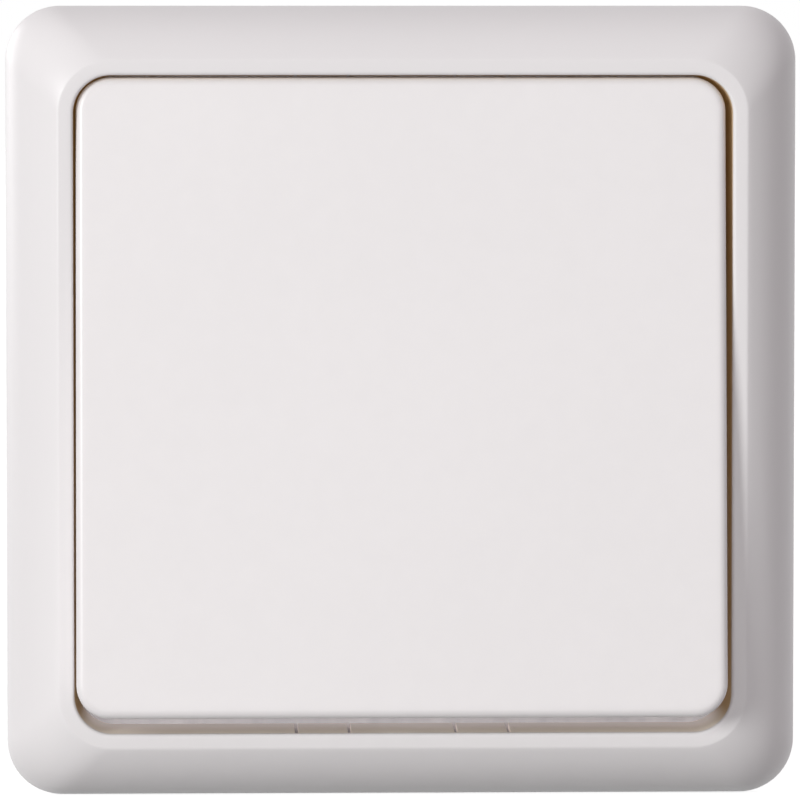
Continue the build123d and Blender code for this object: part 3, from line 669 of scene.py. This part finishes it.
# rocker: drafted cap with a rounded front edge, ribs, seats and clips inside
rockerCap = {
    "axis": 0.8, "tilt": 5.0, "play": 0.22, "face": 11.0, "skirt": 6.0, "draft": 0.5,
    "sideGap": 0.52, "endGap": 0.2, "corner": 3.4, "round": 0.8, "wall": 2.0, "faceWall": 2.2,
    "steps": 14, "roundSteps": 8, "faceStep": 0.4, "intoWall": 0.2, "intoFace": 0.3,
    "ribAt": 18.0, "ribWidth": 1.2, "ribHeight": 1.6,
    "seatWide": 19.6, "seatAt": 7.1, "seatThick": 1.4, "seatEnd": 4.6,
    "clipX": 7.5, "clipThick": 1.8, "clipWide": 5.6, "clipEnd": 0.7, "noseOut": 0.7, "noseHeight": 0.8,
}


# from a piece's own frame to the rocker's axis, tilted with the top pressed in
def seatOnAxis(obj, p):
    obj.rotation_euler = (math.radians(90) - math.radians(p["tilt"]), 0, 0)
    obj.location = (-p["play"] * mm, -p["axis"] * mm, 0)
    settle(obj)


def buildRocker(p, f):
    tilt = math.radians(p["tilt"])
    wide = f["opening"] - 2 * p["sideGap"]
    tall = 2 * (f["opening"] / 2 - p["endGap"] - p["face"] * math.sin(tilt)) / math.cos(tilt)
    skirtZ = p["face"] - p["skirt"]
    lean = math.tan(math.radians(p["draft"]))
    rows = []
    inner = (wide - 2 * p["wall"], tall - 2 * p["wall"], p["corner"] - p["wall"])
    insideZ = p["face"] - p["faceWall"]
    rows.append((*inner, insideZ))
    rows.append((*inner, skirtZ))
    grow = 2 * p["skirt"] * lean
    rows.append((wide + grow, tall + grow, p["corner"], skirtZ))
    for i in range(p["roundSteps"] + 1):
        turn = math.radians(90 * i / p["roundSteps"])
        away = p["round"] * (1 - math.cos(turn))
        h = p["face"] - p["round"] * (1 - math.sin(turn))
        spread = 2 * (p["face"] - h) * lean - 2 * away
        rows.append((wide + spread, tall + spread, p["corner"] - away, h))
    flat = p["round"] + p["faceStep"]
    rows.append((wide - 2 * flat, tall - 2 * flat, p["corner"] - flat, p["face"]))
    cap = ringSkin("rockerCap", rows, p["steps"], False, (0, len(rows) - 1))
    blocks = []
    inX, inY = inner[0] / 2 + p["intoWall"], inner[1] / 2 + p["intoWall"]
    top, ribZ = insideZ + p["intoFace"], insideZ - p["ribHeight"]
    rib, seat, clip = p["ribWidth"] / 2, p["seatThick"] / 2, p["clipWide"] / 2
    clipOut = p["clipX"] + p["clipThick"] / 2
    for side in (1, -1):
        ribAt, seatAt = side * p["ribAt"], side * p["seatAt"]
        blocks.append(addBlock((ribAt - rib, -inY, ribZ), (ribAt + rib, inY, top)))
        blocks.append(addBlock((-inX, ribAt - rib, ribZ), (inX, ribAt + rib, top)))
        seatX = p["seatWide"] / 2
        blocks.append(addBlock((-seatX, seatAt - seat, p["seatEnd"]), (seatX, seatAt + seat, top)))
        a, b = sorted((side * (clipOut - p["clipThick"]), side * clipOut))
        blocks.append(addBlock((a, -clip, p["clipEnd"]), (b, clip, top)))
        a, b = sorted((side * (clipOut - p["intoWall"]), side * (clipOut + p["noseOut"])))
        noseTop = p["clipEnd"] + 2 * p["noseHeight"]
        nose = addBlock((a, -clip, p["clipEnd"]), (b, clip, noseTop))
        for vert in nose.data.vertices:
            if vert.co.z < (p["clipEnd"] + p["noseHeight"]) * mm and vert.co.x * side > clipOut * mm:
                vert.co.x = side * clipOut * mm
        blocks.append(nose)
    for block in blocks:
        carve(cap, block, "UNION")
    seatOnAxis(cap, p)
    return cap


rockerPiece = buildRocker(rockerCap, frameCover)
smooth(rockerPiece)
coat(rockerPiece, "rockerPlastic")
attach(rockerPiece, "rocker")
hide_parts("rocker")
print("rocker modelled", len(rockerPiece.data.polygons))

# screws with rolled threads, modelled head up with the underside of the head at the origin
clawScrew = {
    "head": 2.75, "headHeight": 1.8, "headRound": 0.7, "slot": 0.8, "slotDeep": 1.0,
    "shank": 1.5, "length": 9.115, "tipRound": 1.4, "pitch": 0.5, "depth": 0.28,
    "sunk": 0.06, "ridgeFoot": 0.9, "ridgeTop": 0.12, "intoHead": 0.4, "past": 1, "steps": 24,
    "at": 20.2, "under": -3.015,
}
terminalScrew = {
    "head": 2.2, "headHeight": 1.5, "headRound": 0.25, "slot": 0.7, "slotDeep": 0.6,
    "shank": 1.45, "length": 1.85, "tipRound": 0.25, "pitch": 0.5, "depth": 0.28,
    "sunk": 0.06, "ridgeFoot": 0.9, "ridgeTop": 0.12, "intoHead": 0.4, "past": 1, "steps": 24,
    "at": (10.5, 13.464), "under": 17.65,
}
barSteps = {"round": 48, "rim": 7, "near": 1e-6}


# a turned round bar between two heights, with one rim rounded
def addBar(radius, low, high, rounding, roundTop):
    dropAll()
    bpy.ops.mesh.primitive_cylinder_add(
        vertices=barSteps["round"], radius=radius * mm, depth=(high - low) * mm,
        location=(0, 0, (low + high) / 2 * mm),
    )
    bar = bpy.context.object
    settle(bar)
    editOn(bar)
    bpy.ops.mesh.select_all(action="DESELECT")
    work = bmesh.from_edit_mesh(bar.data)
    rimAt = (high if roundTop else low) * mm
    for edge in work.edges:
        edge.select_set(all(abs(v.co.z - rimAt) < barSteps["near"] for v in edge.verts))
    bmesh.update_edit_mesh(bar.data)
    bpy.ops.mesh.bevel(
        offset=rounding * mm, segments=barSteps["rim"], affect="EDGES", clamp_overlap=True
    )
    bpy.ops.object.mode_set(mode="OBJECT")
    return bar


# one ridge's section, wound up the shank by a screw modifier, closed at both ends
def addRidge(p):
    root = p["shank"] - p["depth"]
    inner, crest = root - p["sunk"], p["shank"]
    start = -p["length"] - p["pitch"]
    dropAll()
    bpy.ops.mesh.primitive_plane_add(size=1, rotation=(math.pi / 2, 0, 0))
    ridge = bpy.context.object
    ridge.scale = ((crest - inner) * mm, p["ridgeFoot"] * p["pitch"] * mm, 1)
    ridge.location = Vector(((crest + inner) / 2, 0, start)) * mm
    settle(ridge)
    editOn(ridge, "VERT")
    bpy.ops.mesh.select_all(action="DESELECT")
    work = bmesh.from_edit_mesh(ridge.data)
    for vert in work.verts:
        vert.select_set(vert.co.x > root * mm)
    work.select_flush(True)
    bmesh.update_edit_mesh(ridge.data)
    bpy.ops.transform.resize(value=(1, 1, p["ridgeTop"] / p["ridgeFoot"]))
    bpy.ops.mesh.select_all(action="SELECT")
    bpy.ops.mesh.delete(type="ONLY_FACE")
    bpy.ops.object.mode_set(mode="OBJECT")
    turns = math.floor((p["length"] + p["pitch"] + p["intoHead"]) / p["pitch"])
    windUp(ridge, p["pitch"], turns, p["steps"])
    return ridge


def buildScrew(name, p):
    screw = addBar(p["shank"] - p["depth"], -p["length"] - p["past"], p["intoHead"], p["sunk"], True)
    carve(screw, addRidge(p), "UNION")
    weld(screw)
    hull = addBar(p["shank"] + p["sunk"], -p["length"], p["headHeight"], p["tipRound"], False)
    carve(screw, hull, "INTERSECT")
    weld(screw)
    head = addBar(p["head"], 0, p["headHeight"], p["headRound"], True)
    across = p["head"] + p["past"]
    slot = addBlock(
        (-p["slot"] / 2, -across, p["headHeight"] - p["slotDeep"]),
        (p["slot"] / 2, across, p["headHeight"] + p["past"]),
    )
    carve(head, slot, "DIFFERENCE")
    carve(screw, head, "UNION")
    weld(screw)
    splitFaces(screw)
    screw.name = name
    smooth(screw)
    coat(screw, "screwSteel")
    return screw


def copyOf(obj, name):
    twin = obj.copy()
    twin.data = obj.data.copy()
    twin.name = name
    scene.collection.objects.link(twin)
    return twin


leftScrew = buildScrew("leftClawScrew", clawScrew)
rightScrew = copyOf(leftScrew, "rightClawScrew")
for screw, side, body in ((leftScrew, -1, "left_claw_screw"), (rightScrew, 1, "right_claw_screw")):
    screw.rotation_euler = (math.radians(90), 0, 0)
    screw.location = Vector((side * clawScrew["at"], clawScrew["under"], 0)) * mm
    settle(screw)
    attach(screw, body)
    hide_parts(body)

firstScrew = buildScrew("terminalScrews", terminalScrew)
terminalSet = [firstScrew] + [copyOf(firstScrew, f"terminalScrew{i}") for i in range(3)]
acrossAt, deepAt = terminalScrew["at"]
for screw, (side, end) in zip(terminalSet, ((1, 1), (-1, 1), (1, -1), (-1, -1))):
    screw.rotation_euler = (0 if end > 0 else math.pi, 0, 0)
    screw.location = Vector((side * acrossAt, deepAt, end * terminalScrew["under"])) * mm
    settle(screw)
terminalScrews = joinAll(terminalSet, "terminalScrews")
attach(terminalScrews, "insert")
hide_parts("terminal_screws")
print("screws modelled", len(leftScrew.data.polygons), len(terminalScrews.data.polygons))

# coil spring in the carrier's stem, wound at one length: the real one shortens as the plunger is pushed in
coil = {
    "radius": 1.54, "wire": 0.22, "turns": 6, "length": 5.58, "from": -3.24, "stemTop": 2.6, "keep": 0.835,
    "wireSteps": 12, "turnSteps": 32, "crease": 40,
}


def buildCoil(p, r):
    dropAll()
    bpy.ops.mesh.primitive_circle_add(
        vertices=p["wireSteps"], radius=p["wire"] * mm,
        location=(p["radius"] * mm, 0, p["from"] * mm), rotation=(math.pi / 2, 0, 0),
    )
    spring = bpy.context.object
    spring.name = "contactSpring"
    settle(spring)
    windUp(spring, p["length"] / p["turns"], p["turns"], p["turnSteps"])
    seatOnAxis(spring, r)
    return spring


contactSpring = buildCoil(coil, rockerCap)
smooth(contactSpring, coil["crease"])
coat(contactSpring, "springSteel")
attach(contactSpring, "rocker")
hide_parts("contact_spring")
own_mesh(contactSpring)
print("spring modelled", len(contactSpring.data.polygons))
